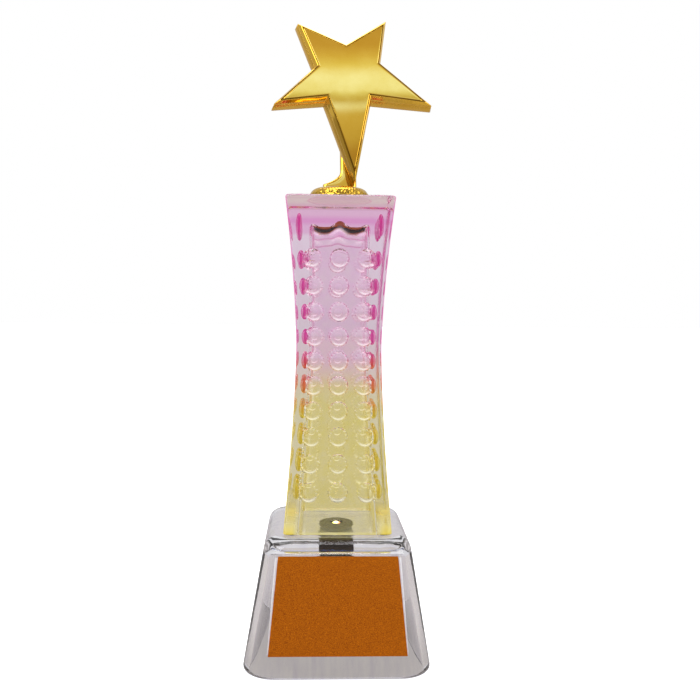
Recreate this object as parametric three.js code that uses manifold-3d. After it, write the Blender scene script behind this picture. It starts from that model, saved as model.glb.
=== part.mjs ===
// A column trophy: a gold star on a round foot, a clear hourglass column with dimples round its
// hollow, a clear hollow base with a label plate, and a small light module under the base's top.
// Millimetres, +Z up, the front faces -Y, and the origin is under the centre of the whole outline.
import * as THREE from "three";
import { mergeVertices } from "three/addons/utils/BufferGeometryUtils.js";
import Module from "manifold-3d";

const wasm = await Module();
wasm.setup();

// ---- driving dimensions ----
const FIT = 0.1; // gap between pieces that are glued, or rest on each other
const CUT_FIT = 0.3; // gap where one piece is cut to its neighbour's shape
const ROUND_HALFWAY = 0.3; // where the middle of a quarter round lies, as a share of its radius

const BASE = {
  height: 58.6,
  footHalf: 43.25, // half width where the sloping sides would meet the ground
  topHalf: 33.6, // half width where they would meet the top
  footCorner: 15,
  topCorner: 9,
  topRound: 5.5,
  rimRound: 1,
  wall: 3.3,
  topPlate: 6,
  hollowRound: 2.5, // at the hollow's ceiling
};
const COLUMN = {
  height: 159.2,
  waistZ: 146,
  waistHalf: 20.3,
  flareUp: { by: 5.3, over: 68, power: 1.6 }, // how much wider each half is, at that height above
  flareDown: { by: 5.0, over: 85, power: 1.5 }, // the waist, and at that depth below it
  corner: 3,
  topRound: 1.6,
  footRound: 0.8,
  wallBelow: 6.3,
  hollowHalf: 14,
  hollowFlare: { by: 0.5, over: 57, power: 2 },
  hollowCorner: 2.5,
  hollowRound: 1.5, // at the hollow's ceiling
  capThick: 14.2,
};
const DIMPLE = { rows: 11, radius: 4.7, inset: 1.2, pitch: 0.578, firstZ: 203 };
const GLUE = { thick: 0.2, inset: 0.8, width: 3.8 };
const LABEL = { lowZ: 10.1, highZ: 52.2, lowHalf: 31.1, highHalf: 27.25, thick: 0.8, tape: 0.2 };
const FOOT = {
  radius: 14.9,
  height: 6.3,
  side: 2, // height of its straight side
  shoulder: 4.6,
  dome: 0.5,
  glue: 0.2,
  recess: 1.6, // width of the rim round the recess underneath
  recessDeep: 1,
};
const STAR = {
  yaw: 6, // degrees the face is turned towards +X
  lean: 8.5, // degrees it leans back
  roll: 3, // degrees it is turned in its own plane
  tip: [7.7, -6, 226.4], // the lowest point of its front edge
  thick: 9,
  edge: 1.2, // depth of the sloping front edge
  edgeIn: 1.6, // how far that edge steps in
  draft: 0.8, // how much the front of the side walls steps in from their back
  groove: 0.4,
  crown: [[1.6, 0.5], [3.4, 0.9]], // how far in from the groove the panel has risen by how much
  parting: 2.6, // depth of the joint between the two shells
  skin: 1.6,
};
const STEM = { right: 2, neck: 6, toe: 15, toeHigh: 2.2, flareHigh: 11, high: 25, thick: 4, bevel: 0.6 };
const MODULE = {
  radius: 8,
  wall: 1.2,
  topZ: 57.1,
  lowZ: 49.4,
  top: 0.8,
  chamfer: 0.5,
  notch: 1.1, // depth of the notch that the cap's tab turns in
  pocketRadius: 8.3,
  pocketTopZ: 57.6,
  lampHole: 3.1,
};
const LAMP = { radius: 2.4, flange: 3.1, flangeThick: 0.7, topZ: 58.8, leadRadius: 0.3, leadSpread: 1.27 };
const BOARD = { radius: 6.4, lowZ: 54.4, thick: 0.8 };
const CELL = { radius: 6.25, thick: 2, lowZ: 50.9, edge: 0.3, step: 0.7, stepDeep: 0.4 };
const CAP = {
  radius: 9.2,
  thick: 1.6,
  ribs: 18,
  rib: 0.5,
  spigot: 6.5,
  spigotWall: 1.3,
  spigotTop: 1.2,
  grooveDeep: 0.7, // for the seal
  tabAngle: 8, // degrees
  turn: 30, // degrees from off to on
};

// ---- shape helpers ----
const rad = THREE.MathUtils.degToRad;

// A rounded square ring at height z, with sides 2 * half long.
function squareRing(half, corner, z, steps) {
  const points = [];
  for (let side = 0; side < 4; side++) {
    const facing = (side * Math.PI) / 2;
    for (let i = 0; i <= steps; i++) {
      const a = facing + (i / steps) * (Math.PI / 2);
      const cx = (half - corner) * (side === 0 || side === 3 ? 1 : -1);
      const cy = (half - corner) * (side < 2 ? 1 : -1);
      points.push(new THREE.Vector3(cx + corner * Math.cos(a), cy + corner * Math.sin(a), z));
    }
  }
  return points;
}

// A closed solid through rings of equally many points, listed from the lowest to the highest.
function loft(rings) {
  const count = rings[0].length;
  const positions = rings.flat().flatMap((p) => [p.x, p.y, p.z]);
  const faces = [];
  for (let r = 0; r < rings.length - 1; r++)
    for (let i = 0; i < count; i++) {
      const a = r * count + i;
      const b = r * count + ((i + 1) % count);
      faces.push(a, b, b + count, a, b + count, a + count);
    }
  const cap = (ring, start, flip) => {
    const flat = ring.map((p) => new THREE.Vector2(p.x, p.y));
    for (const [a, b, c] of THREE.ShapeUtils.triangulateShape(flat, []))
      faces.push(start + a, start + (flip ? c : b), start + (flip ? b : c));
  };
  cap(rings[0], 0, true);
  cap(rings[rings.length - 1], (rings.length - 1) * count, false);
  const geometry = new THREE.BufferGeometry();
  geometry.setAttribute("position", new THREE.Float32BufferAttribute(positions, 3));
  geometry.setIndex(faces);
  return geometry;
}

// A turned piece: the profile is a list of [radius, z] that starts and ends on the axis or closes.
function turned(profile, segments = 32) {
  const points = profile.map(([r, z]) => new THREE.Vector2(r, z));
  return new THREE.LatheGeometry(points, segments).rotateX(Math.PI / 2);
}

// A turned ring between two radii and two heights.
const ringPiece = (inner, outer, low, high, segments) =>
  turned([[inner, low], [outer, low], [outer, high], [inner, high], [inner, low]], segments);

// A turned disc between two heights.
const disc = (radius, low, high, segments) =>
  turned([[0, low], [radius, low], [radius, high], [0, high]], segments);

// A sector of a ring, from one angle to another, in degrees.
function sector(inner, outer, from, to, low, high) {
  const shape = new THREE.Shape();
  shape.absarc(0, 0, outer, rad(from), rad(to), false);
  shape.absarc(0, 0, inner, rad(to), rad(from), true);
  const options = { depth: high - low, bevelEnabled: false, curveSegments: 6 };
  return new THREE.ExtrudeGeometry(shape, options).translate(0, 0, low);
}

// The geometry as a solid that can be joined and cut.
function solid(geometry) {
  const plain = geometry.clone();
  plain.deleteAttribute("normal");
  plain.deleteAttribute("uv");
  const merged = mergeVertices(plain, 1e-4);
  return new wasm.Manifold(
    new wasm.Mesh({
      numProp: 3,
      vertProperties: merged.attributes.position.array,
      triVerts: new Uint32Array(merged.index.array),
    }),
  );
}

// The solid back as a geometry.
function geometryOf(made) {
  const mesh = made.getMesh();
  const geometry = new THREE.BufferGeometry();
  geometry.setAttribute("position", new THREE.BufferAttribute(mesh.vertProperties, 3));
  geometry.setIndex(new THREE.BufferAttribute(mesh.triVerts, 1));
  geometry.computeVertexNormals();
  return geometry;
}

const cut = (body, ...tools) => geometryOf(tools.reduce((s, t) => s.subtract(solid(t)), solid(body)));

const trophy = new THREE.Group();

function add(name, geometry, color, roughness, metalness, parent = trophy) {
  const material = new THREE.MeshStandardMaterial({ color, roughness, metalness });
  const mesh = new THREE.Mesh(geometry, material);
  mesh.name = name;
  parent.add(mesh);
  return mesh;
}

const GOLD = 0xd9a531;
const CLEAR = 0xe8ecf2;
const BLACK = 0x1b1a1c;
const NICKEL = 0xb9bcc2;

// ---- the clear base: a hollow block with sloping sides, open underneath ----
const baseSlope = (BASE.footHalf - BASE.topHalf) / BASE.height;
const baseHalf = (z) => BASE.footHalf - baseSlope * z;
const baseCorner = (z) => BASE.footCorner + (BASE.topCorner - BASE.footCorner) * (z / BASE.height);

function baseOuter() {
  const rings = [];
  const arcSteps = 4;
  for (let i = 0; i <= arcSteps; i++) {
    const a = (i / arcSteps) * (Math.PI / 2);
    const z = BASE.rimRound * (1 - Math.cos(a));
    const inward = BASE.rimRound * (1 - Math.sin(a));
    rings.push(squareRing(baseHalf(z) - inward, baseCorner(z) - inward, z, 6));
  }
  for (let i = 0; i <= arcSteps; i++) {
    const a = (i / arcSteps) * (Math.PI / 2);
    const z = BASE.height - BASE.topRound * (1 - Math.sin(a));
    const inward = BASE.topRound * (1 - Math.cos(a));
    rings.push(squareRing(baseHalf(z) - inward, baseCorner(z) - inward * 0.5, z, 6));
  }
  return loft(rings);
}

function baseHollow() {
  const ceiling = BASE.height - BASE.topPlate;
  const round = BASE.hollowRound;
  const hollowRing = (z, inward) =>
    squareRing(baseHalf(z) - BASE.wall - inward, baseCorner(z) - BASE.wall * 0.6 - inward, z, 6);
  return loft([
    hollowRing(-1, 0),
    hollowRing(ceiling - round, 0),
    hollowRing(ceiling - round * ROUND_HALFWAY, round * ROUND_HALFWAY),
    hollowRing(ceiling, round),
  ]);
}

const modulePocket = disc(MODULE.pocketRadius, BASE.height - BASE.topPlate - 1, MODULE.pocketTopZ, 40);
const lampHole = disc(MODULE.lampHole, MODULE.pocketTopZ - 1, BASE.height + 1, 24);
add("base_shell", cut(baseOuter(), baseHollow(), modulePocket, lampHole), CLEAR, 0.05, 0);

// ---- the label plate and its adhesive tape, on the sloping front face ----
const faceTurn = Math.atan(baseSlope);
const labelGroup = new THREE.Group();
labelGroup.position.set(0, -baseHalf(LABEL.lowZ), LABEL.lowZ);
labelGroup.rotation.x = Math.PI / 2 - faceTurn;
trophy.add(labelGroup);

function trapezoid(lowHalf, highHalf, low, high, thick) {
  const shape = new THREE.Shape();
  shape.moveTo(-lowHalf, low);
  shape.lineTo(lowHalf, low);
  shape.lineTo(highHalf, high);
  shape.lineTo(-highHalf, high);
  shape.closePath();
  return new THREE.ExtrudeGeometry(shape, { depth: thick, bevelEnabled: false });
}

const labelTall = (LABEL.highZ - LABEL.lowZ) / Math.cos(faceTurn);
const tape = trapezoid(LABEL.lowHalf + 0.5, LABEL.highHalf + 1.4, 0.6, labelTall - 0.6, LABEL.tape);
add("label_tape", tape.translate(0, 0, FIT), 0xf2f2ee, 0.6, 0, labelGroup);
const plate = trapezoid(LABEL.lowHalf, LABEL.highHalf, 0, labelTall, LABEL.thick);
add("label_plate", plate.translate(0, 0, LABEL.tape + 2 * FIT), 0xb05c14, 0.45, 0.6, labelGroup);

// ---- the clear column: an hourglass of square section, hollow and open underneath ----
const columnLow = BASE.height + GLUE.thick + FIT;
const columnHigh = columnLow + COLUMN.height;
const flared = (flare, distance) => flare.by * (distance / flare.over) ** flare.power;
function columnHalf(z) {
  const above = z - COLUMN.waistZ;
  return COLUMN.waistHalf + (above > 0 ? flared(COLUMN.flareUp, above) : flared(COLUMN.flareDown, -above));
}
function hollowHalf(z) {
  const above = z - COLUMN.waistZ;
  if (above > 0) return COLUMN.hollowHalf + flared(COLUMN.hollowFlare, above);
  return columnHalf(z) - COLUMN.wallBelow;
}

function columnOuter() {
  const rings = [];
  const rounded = (z, inward) => rings.push(squareRing(columnHalf(z) - inward, COLUMN.corner, z, 3));
  rounded(columnLow, COLUMN.footRound);
  rounded(columnLow + COLUMN.footRound, 0);
  const steps = 14;
  for (let i = 1; i < steps; i++) rounded(columnLow + (COLUMN.height * i) / steps, 0);
  rounded(columnHigh - COLUMN.topRound, 0);
  rounded(columnHigh - COLUMN.topRound * ROUND_HALFWAY, COLUMN.topRound * ROUND_HALFWAY);
  rounded(columnHigh, COLUMN.topRound);
  return loft(rings);
}

function columnHollow() {
  const ceiling = columnHigh - COLUMN.capThick;
  const rings = [];
  const rounded = (z, inward) => rings.push(squareRing(hollowHalf(z) - inward, COLUMN.hollowCorner, z, 2));
  const mouth = 3; // the hollow widens by 1 mm over its lowest 3 mm
  rounded(columnLow - 1, -1);
  rounded(columnLow + mouth, 0);
  const steps = 12;
  const straight = ceiling - COLUMN.hollowRound - columnLow - mouth;
  for (let i = 1; i <= steps; i++) rounded(columnLow + mouth + (straight * i) / steps, 0);
  rounded(ceiling, COLUMN.hollowRound);
  return loft(rings);
}

// The heights of the dimple rows, spaced with the column's own width.
function dimpleRows() {
  const heights = [];
  let z = DIMPLE.firstZ;
  for (let row = 0; row < DIMPLE.rows; row++) {
    heights.push(z);
    z -= DIMPLE.pitch * columnHalf(z);
  }
  return heights;
}

function columnBlock() {
  let hollow = solid(columnHollow());
  for (const z of dimpleRows()) {
    const across = DIMPLE.pitch * columnHalf(z);
    const out = hollowHalf(z) - DIMPLE.inset;
    for (let face = 0; face < 4; face++)
      for (const place of [-1, 0, 1]) {
        const ball = new THREE.SphereGeometry(DIMPLE.radius, 6, 4);
        ball.translate(place * across, -out, z).rotateZ((face * Math.PI) / 2);
        hollow = hollow.add(solid(ball));
      }
  }
  return geometryOf(solid(columnOuter()).subtract(hollow));
}
add("column_block", columnBlock(), 0xdcb8d0, 0.05, 0);

const glueOuter = columnHalf(columnLow) - GLUE.inset;
const glueRing = (half, low, high) => loft([squareRing(half, 3, low, 3), squareRing(half, 3, high, 3)]);
const glueLow = BASE.height + FIT / 2;
const glueHigh = glueLow + GLUE.thick;
const glueHole = glueRing(glueOuter - GLUE.width, glueLow - 1, glueHigh + 1);
add("column_glue", cut(glueRing(glueOuter, glueLow, glueHigh), glueHole), 0xf4f4f0, 0.2, 0);

// ---- the topper's round foot and its glue ----
const footLow = columnHigh + FOOT.glue + FIT;
const footHigh = footLow + FOOT.height;

function footDisc() {
  const shoulder = [];
  const steps = 6;
  for (let i = 0; i <= steps; i++) {
    const a = (i / steps) * (Math.PI / 2);
    const r = FOOT.radius - FOOT.shoulder * (1 - Math.cos(a));
    const rise = FOOT.height - FOOT.side - FOOT.dome;
    shoulder.push([r, footLow + FOOT.side + rise * Math.sin(a)]);
  }
  const recess = FOOT.radius - FOOT.recess;
  const recessHigh = footLow + FOOT.recessDeep;
  const under = [[0, recessHigh], [recess - 1, recessHigh], [recess, footLow], [FOOT.radius, footLow]];
  return turned([...under, ...shoulder, [0, footHigh]], 48);
}
add("topper_foot", footDisc(), GOLD, 0.15, 1);
const glueDiscLow = columnHigh + FIT / 2;
const glueDisc = disc(FOOT.radius - FOOT.recess - 2, glueDiscLow, footLow + FOOT.recessDeep - FIT, 32);
add("foot_glue", glueDisc, 0xf4f4f0, 0.3, 0);

// ---- the star: two shells and a stem, in a plane that is turned and leans back ----
const starYaw = new THREE.Group();
starYaw.position.set(...STAR.tip);
starYaw.rotation.z = rad(STAR.yaw);
const starLean = new THREE.Group();
starLean.rotation.x = Math.PI / 2 - rad(STAR.lean);
const starRoll = new THREE.Group();
starRoll.rotation.z = rad(STAR.roll);
trophy.add(starYaw.add(starLean.add(starRoll)));

// Tips and notches in turn, from the lowest tip round to the right. The tip is the zero point.
const starOutline = [
  [0, 0], [11.6, 43], [43.4, 39.6], [17.8, 62.9], [22.2, 87],
  [-0.4, 73.6], [-25, 85.2], [-17.4, 61.4], [-39.6, 41], [-12.8, 42.8],
].map(([x, y]) => new THREE.Vector2(x, y));

// The outline moved inwards by a distance, as a ring at height z.
function starRing(inward, z) {
  const count = starOutline.length;
  return starOutline.map((p, i) => {
    const before = p.clone().sub(starOutline[(i + count - 1) % count]).normalize();
    const after = starOutline[(i + 1) % count].clone().sub(p).normalize();
    const leftOf = (d) => new THREE.Vector2(-d.y, d.x);
    const bisector = leftOf(before).add(leftOf(after)).normalize();
    const reach = inward / bisector.dot(leftOf(before));
    return new THREE.Vector3(p.x + bisector.x * reach, p.y + bisector.y * reach, z);
  });
}

// How far the side wall has stepped in at a depth behind the front.
const wallIn = (depth) => (STAR.draft * (STAR.thick - depth)) / (STAR.thick - STAR.edge);

function starFront() {
  const joint = STAR.parting - CUT_FIT;
  const rim = STAR.draft + STAR.edgeIn;
  return loft([
    starRing(wallIn(joint), -joint),
    starRing(STAR.draft, -STAR.edge),
    starRing(rim, 0),
    starRing(rim + STAR.groove / 2, -STAR.groove),
    starRing(rim + STAR.groove, 0),
    ...STAR.crown.map(([inward, height]) => starRing(rim + inward, height)),
  ]);
}

function starBack() {
  const shell = loft([
    starRing(1, -STAR.thick),
    starRing(0, -STAR.thick + 1),
    starRing(wallIn(STAR.parting), -STAR.parting),
  ]);
  const inside = loft([
    starRing(STAR.skin + 0.5, -STAR.thick + STAR.skin),
    starRing(STAR.skin, -STAR.thick + 2 * STAR.skin),
    starRing(STAR.skin + STAR.draft, -STAR.parting + 1),
  ]);
  return cut(shell, inside);
}
add("star_front", starFront(), GOLD, 0.1, 1, starRoll);
add("star_back", starBack(), GOLD, 0.14, 1, starRoll);

// The stem is a flared fin behind the long lower leg, cut level where it stands on the foot.
function starStem() {
  const shape = new THREE.Shape();
  shape.moveTo(STEM.right, -5);
  shape.lineTo(-STEM.toe, -5);
  shape.lineTo(-STEM.toe, STEM.toeHigh);
  shape.bezierCurveTo(-9, STEM.toeHigh + 0.8, -STEM.neck, STEM.toeHigh + 3.3, -STEM.neck, STEM.flareHigh);
  shape.lineTo(-STEM.neck, STEM.high);
  shape.quadraticCurveTo((STEM.right - STEM.neck) / 2, STEM.high + 5, STEM.right, STEM.high);
  shape.closePath();
  const bevel = { bevelEnabled: true, bevelSize: STEM.bevel, bevelThickness: STEM.bevel, bevelSegments: 2 };
  const fin = new THREE.ExtrudeGeometry(shape, { depth: STEM.thick, ...bevel, curveSegments: 10 });
  fin.translate(0, 0, -STAR.thick - CUT_FIT - STEM.thick - STEM.bevel);
  trophy.updateMatrixWorld(true);
  fin.applyMatrix4(starLean.matrixWorld);
  const below = new THREE.BoxGeometry(80, 80, 20).translate(0, 0, footHigh + CUT_FIT - 10);
  return cut(fin, below);
}
add("star_stem", starStem(), GOLD, 0.14, 1);

// ---- the light module, pushed up into the pocket under the base's top ----
const lampFlangeHigh = MODULE.topZ - MODULE.top - FIT;
const lampFlangeLow = lampFlangeHigh - LAMP.flangeThick;
const boardHigh = BOARD.lowZ + BOARD.thick;

function moduleHousing() {
  const inner = MODULE.radius - MODULE.wall;
  const under = MODULE.topZ - MODULE.top;
  const hole = LAMP.radius + 0.2;
  const edge = MODULE.radius - MODULE.chamfer;
  const inside = [[hole, under], [inner, under], [inner, MODULE.lowZ]];
  const outside = [[MODULE.radius, MODULE.lowZ], [MODULE.radius, MODULE.topZ - MODULE.chamfer], [edge, MODULE.topZ]];
  const cup = turned([...inside, ...outside, [hole, MODULE.topZ], [hole, under]], 40);
  const half = CAP.tabAngle / 2 + 1;
  const notchHigh = MODULE.lowZ + MODULE.notch;
  const notch = sector(inner - 1, MODULE.radius + 1, -half, CAP.turn + half, MODULE.lowZ - 1, notchHigh);
  return cut(cup, notch);
}
add("led_housing", moduleHousing(), BLACK, 0.4, 0);
const foam = ringPiece(LAMP.radius + 1.6, MODULE.radius - 1, MODULE.topZ + FIT, MODULE.pocketTopZ - FIT, 32);
add("module_tape", foam, 0x2a2a2c, 0.9, 0);

function lampBulb() {
  const dome = [];
  const steps = 6;
  for (let i = 0; i <= steps; i++) {
    const a = (i / steps) * (Math.PI / 2);
    dome.push([LAMP.radius * Math.cos(a), LAMP.topZ - LAMP.radius * (1 - Math.sin(a))]);
  }
  dome[steps][0] = 0;
  const flange = [[0, lampFlangeLow], [LAMP.flange, lampFlangeLow], [LAMP.flange, lampFlangeHigh]];
  return turned([...flange, [LAMP.radius, lampFlangeHigh], ...dome], 24);
}
add("led_bulb", lampBulb(), 0xf6f4ee, 0.1, 0);

const leadHole = (x) => disc(LAMP.leadRadius + 0.15, BOARD.lowZ - 1, boardHigh + 1, 10).translate(x, 0, 0);
const board = disc(BOARD.radius, BOARD.lowZ, boardHigh, 32);
add("led_board", cut(board, leadHole(-LAMP.leadSpread), leadHole(LAMP.leadSpread)), 0x1f6b3a, 0.5, 0);
for (const [name, side] of [["led_lead_positive", 1], ["led_lead_negative", -1]]) {
  const lead = disc(LAMP.leadRadius, BOARD.lowZ - 0.5, lampFlangeLow - FIT / 2, 8);
  add(name, lead.translate(side * LAMP.leadSpread, 0, 0), NICKEL, 0.25, 1);
}
const resistor = new THREE.BoxGeometry(2, 1.2, 0.6).translate(0, 4.2, BOARD.lowZ - FIT - 0.3);
add("chip_resistor", resistor, 0x202022, 0.5, 0);

// A sprung finger presses on the cell from the board.
function contactSpring() {
  const top = BOARD.lowZ - FIT;
  const low = CELL.lowZ + CELL.thick + FIT;
  const shape = new THREE.Shape();
  const thick = 0.25;
  shape.moveTo(-4.5, top);
  shape.lineTo(-4.5, top - thick);
  shape.lineTo(-2.6, top - thick);
  shape.quadraticCurveTo(-0.6, low, 1.4, low);
  shape.quadraticCurveTo(3, low, 4.2, low + 0.7);
  shape.lineTo(4.2, low + 0.7 + thick);
  shape.quadraticCurveTo(3, low + thick, 1.4, low + thick);
  shape.quadraticCurveTo(-0.6, low + thick, -2.4, top);
  shape.closePath();
  const strip = new THREE.ExtrudeGeometry(shape, { depth: 2, bevelEnabled: false, curveSegments: 5 });
  return strip.rotateX(Math.PI / 2).translate(0, -1.6, 0);
}
add("contact_spring", contactSpring(), NICKEL, 0.25, 1);

const cellHigh = CELL.lowZ + CELL.thick;
const cellStep = CELL.radius - CELL.step;
const cellCan = [[0, CELL.lowZ], [CELL.radius - CELL.edge, CELL.lowZ], [CELL.radius, CELL.lowZ + CELL.edge]];
const cellRim = [[CELL.radius, cellHigh - CELL.stepDeep - 0.2], [cellStep, cellHigh - CELL.stepDeep]];
add("coin_cell", turned([...cellCan, ...cellRim, [cellStep, cellHigh], [0, cellHigh]], 36), NICKEL, 0.2, 1);

// The cap under the module turns to switch the light on and off.
const capHigh = MODULE.lowZ - CUT_FIT;
const capLow = capHigh - CAP.thick;
const spigotHigh = capHigh + CAP.spigotTop;

function twistCap() {
  const rim = new THREE.Shape();
  const steps = CAP.ribs * 6;
  for (let i = 0; i < steps; i++) {
    const a = (i / steps) * 2 * Math.PI;
    const r = CAP.radius + CAP.rib * (Math.cos(CAP.ribs * a) - 1) * 0.5;
    if (i === 0) rim.moveTo(r, 0);
    else rim.lineTo(r * Math.cos(a), r * Math.sin(a));
  }
  rim.closePath();
  const options = { depth: CAP.thick, bevelEnabled: false };
  const grip = new THREE.ExtrudeGeometry(rim, options).translate(0, 0, capLow);
  const root = capHigh - 0.5;
  const inner = CAP.spigot - CAP.spigotWall;
  const groove = CAP.spigot - CAP.grooveDeep;
  const below = [[inner, root], [CAP.spigot, root], [CAP.spigot, capHigh + 0.1], [groove, capHigh + 0.1]];
  const above = [[groove, capHigh + 1], [CAP.spigot, capHigh + 1], [CAP.spigot, spigotHigh], [inner, spigotHigh]];
  const spigot = turned([...below, ...above, [inner, root]], 32);
  const half = CAP.tabAngle / 2;
  const tabHigh = MODULE.lowZ + MODULE.notch - CUT_FIT;
  const tabIn = MODULE.radius - MODULE.wall + 0.15;
  const tab = sector(tabIn, MODULE.radius - FIT, -half, half, root, tabHigh);
  const coinSlot = new THREE.BoxGeometry(10, 1.6, 1.6).translate(0, 0, capLow);
  return geometryOf(solid(grip).add(solid(spigot)).add(solid(tab)).subtract(solid(coinSlot)));
}
add("twist_cap", twistCap(), BLACK, 0.45, 0);
add("cap_contact", disc(CAP.spigot - CAP.grooveDeep, spigotHigh + FIT, CELL.lowZ - FIT, 28), NICKEL, 0.25, 1);

function capSeal() {
  const centre = capHigh + 0.55;
  const ring = [];
  const steps = 8;
  for (let i = 0; i <= steps; i++) {
    const a = ((i % steps) / steps) * 2 * Math.PI;
    ring.push([6.28 + 0.38 * Math.cos(a), centre + 0.38 * Math.sin(a)]);
  }
  return turned(ring, 36);
}
add("cap_seal", capSeal(), 0x101012, 0.7, 0);

// ---- the origin goes under the centre of the whole outline ----
trophy.updateMatrixWorld(true);
const outline = new THREE.Box3().setFromObject(trophy, true);
const middle = outline.getCenter(new THREE.Vector3());
trophy.position.set(-middle.x, -middle.y, -outline.min.z);

export default trophy;
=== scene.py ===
"""A column trophy: gold star, dimpled clear column that fades from pink to yellow, clear hollow base."""
import math

import bpy
import numpy as np
from mathutils import Matrix, Vector


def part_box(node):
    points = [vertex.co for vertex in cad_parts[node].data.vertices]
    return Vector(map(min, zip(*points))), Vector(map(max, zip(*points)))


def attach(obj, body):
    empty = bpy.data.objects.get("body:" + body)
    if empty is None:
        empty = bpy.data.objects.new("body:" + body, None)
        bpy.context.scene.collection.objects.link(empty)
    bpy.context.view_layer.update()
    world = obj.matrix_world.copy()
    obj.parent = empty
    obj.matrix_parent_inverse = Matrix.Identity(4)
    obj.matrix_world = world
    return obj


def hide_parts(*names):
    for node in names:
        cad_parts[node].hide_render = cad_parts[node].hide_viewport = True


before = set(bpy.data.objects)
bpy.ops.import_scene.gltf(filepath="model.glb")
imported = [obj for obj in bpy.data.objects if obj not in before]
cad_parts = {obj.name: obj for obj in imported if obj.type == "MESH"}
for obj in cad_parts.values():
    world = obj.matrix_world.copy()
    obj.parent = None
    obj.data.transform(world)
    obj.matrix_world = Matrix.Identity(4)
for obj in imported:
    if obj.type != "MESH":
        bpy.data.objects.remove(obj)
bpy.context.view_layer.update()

MM = 0.001


# ---- measures taken from the frame ----
base_low, base_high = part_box("base_shell")
column_low, column_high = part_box("column_block")
foot_low, foot_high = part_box("topper_foot")
lamp_low, lamp_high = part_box("led_bulb")
foot_mid = (foot_low + foot_high) / 2
AXIS_X = ((base_low + base_high) / 2).x
BASE_TALL = base_high.z
COLUMN_FOOT_Z = column_low.z
COLUMN_TOP_Z = column_high.z

# The base's sides, as in the CAD: half widths and corner radii at the ground and at the top.
BASE_FOOT_HALF = 43.25 * MM
BASE_TOP_HALF = 33.6 * MM
BASE_FOOT_CORNER = 15 * MM
BASE_TOP_CORNER = 9 * MM
BASE_TOP_ROUND = 5.5 * MM
BASE_RIM_ROUND = 1.0 * MM
BASE_WALL = 3.3 * MM
BASE_PLATE = 6 * MM
BASE_CEILING_Z = BASE_TALL - BASE_PLATE
BASE_CEILING_ROUND = 2.5 * MM
POCKET_RADIUS = 8.3 * MM
POCKET_TOP_Z = BASE_TALL - 1 * MM
LAMP_HOLE = 3.1 * MM

# The column's hourglass: how much wider it is at its top and its foot, and over what height.
WAIST_Z = 146 * MM
WAIST_HALF = 20.3 * MM
TOP_FLARE, TOP_FLARE_TALL = 5.3 * MM, 68 * MM
FOOT_FLARE, FOOT_FLARE_TALL = 5.0 * MM, 85 * MM
COLUMN_CORNER = 1.4 * MM
COLUMN_FOOT_ROUND = 0.8 * MM
COLUMN_TOP_ROUND = 1.6 * MM
FOOT_TINT_TALL = 14 * MM
BOND_RADIUS = 14.5 * MM

# The hollow inside it. Below the waist its walls are equally thick all the way down.
HOLLOW_HALF = 14 * MM
HOLLOW_FLARE, HOLLOW_FLARE_TALL = 0.5 * MM, 57 * MM
HOLLOW_CORNER = 2.5 * MM
WALL_BELOW = 6.3 * MM
CAP_THICK = 14.2 * MM
CEILING_Z = COLUMN_TOP_Z - CAP_THICK
RIDGE_RISE, RIDGE_WIDTH = 3.0 * MM, 3.4 * MM
SIDE_RISE, SIDE_RISE_FROM, SIDE_RISE_TO = 1.3 * MM, 7.5 * MM, 12 * MM

# The dimples round the hollow: half width, depth and half height of one, and of the tinted end of a
# deep dimple at the sides. The ends lie a fixed distance inside the column's outer face. The pitch,
# both up and across, is a share of the column's half width there.
DIMPLE_ROWS = 11
DIMPLE_PITCH = 0.578
DIMPLE_FIRST_Z = 203 * MM
DIMPLE_BLEND = 0.5 * MM
DIMPLE = (4.6 * MM, 1.3 * MM, 4.6 * MM)
DIMPLE_END = (3.6 * MM, 1.8 * MM, 3.8 * MM)
FIRST_DIMPLE_END = (3.6 * MM, 1.6 * MM, 5.4 * MM)
END_INSIDE, FIRST_END_INSIDE = 4.35 * MM, 5.0 * MM
FIRST_END_Z = 205 * MM

# How finely rings are divided.
CORNER_STEPS = 14
COLUMN_AROUND = 288
HOLLOW_LEVELS = 420
CEILING_RINGS = 26


# ---- mesh helpers ----
def rounded_square(half, corner, z):
    """A closed ring: a square of 2 * half with rounded corners, counter-clockwise seen from above."""
    points = []
    for side in range(4):
        cx = (half - corner) * (1 if side in (0, 3) else -1)
        cy = (half - corner) * (1 if side < 2 else -1)
        for i in range(CORNER_STEPS + 1):
            turn = side * math.pi / 2 + i / CORNER_STEPS * math.pi / 2
            x, y = cx + corner * math.cos(turn), cy + corner * math.sin(turn)
            points.append((AXIS_X + x, y, z))
    return np.array(points)


def make_object(name, points, faces, material, smooth_angle=40):
    mesh = bpy.data.meshes.new(name)
    mesh.from_pydata([tuple(p) for p in points], [], faces)
    mesh.validate()
    mesh.update()
    mesh.shade_smooth()
    mesh.set_sharp_from_angle(angle=math.radians(smooth_angle))
    obj = bpy.data.objects.new(name, mesh)
    bpy.context.scene.collection.objects.link(obj)
    obj.data.materials.append(material)
    return obj


def ring_faces(rows, count, start=0, wrap=False):
    """Quads between neighbouring rings of a list of rings."""
    faces = []
    last = rows if wrap else rows - 1
    for r in range(last):
        a = start + r * count
        b = start + ((r + 1) % rows) * count
        for i in range(count):
            j = (i + 1) % count
            faces.append((a + i, a + j, b + j, b + i))
    return faces


def loft(name, rings, material, wrap=False, smooth_angle=40):
    """A closed piece through rings from the lowest to the highest, capped unless it wraps round."""
    count = len(rings[0])
    points = np.concatenate(rings)
    faces = ring_faces(len(rings), count, wrap=wrap)
    if not wrap:
        faces.append(tuple(reversed(range(count))))
        top = (len(rings) - 1) * count
        faces.append(tuple(range(top, top + count)))
    return make_object(name, points, faces, material, smooth_angle)


def turned_inside_out(faces):
    return [tuple(reversed(face)) for face in faces]


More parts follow.
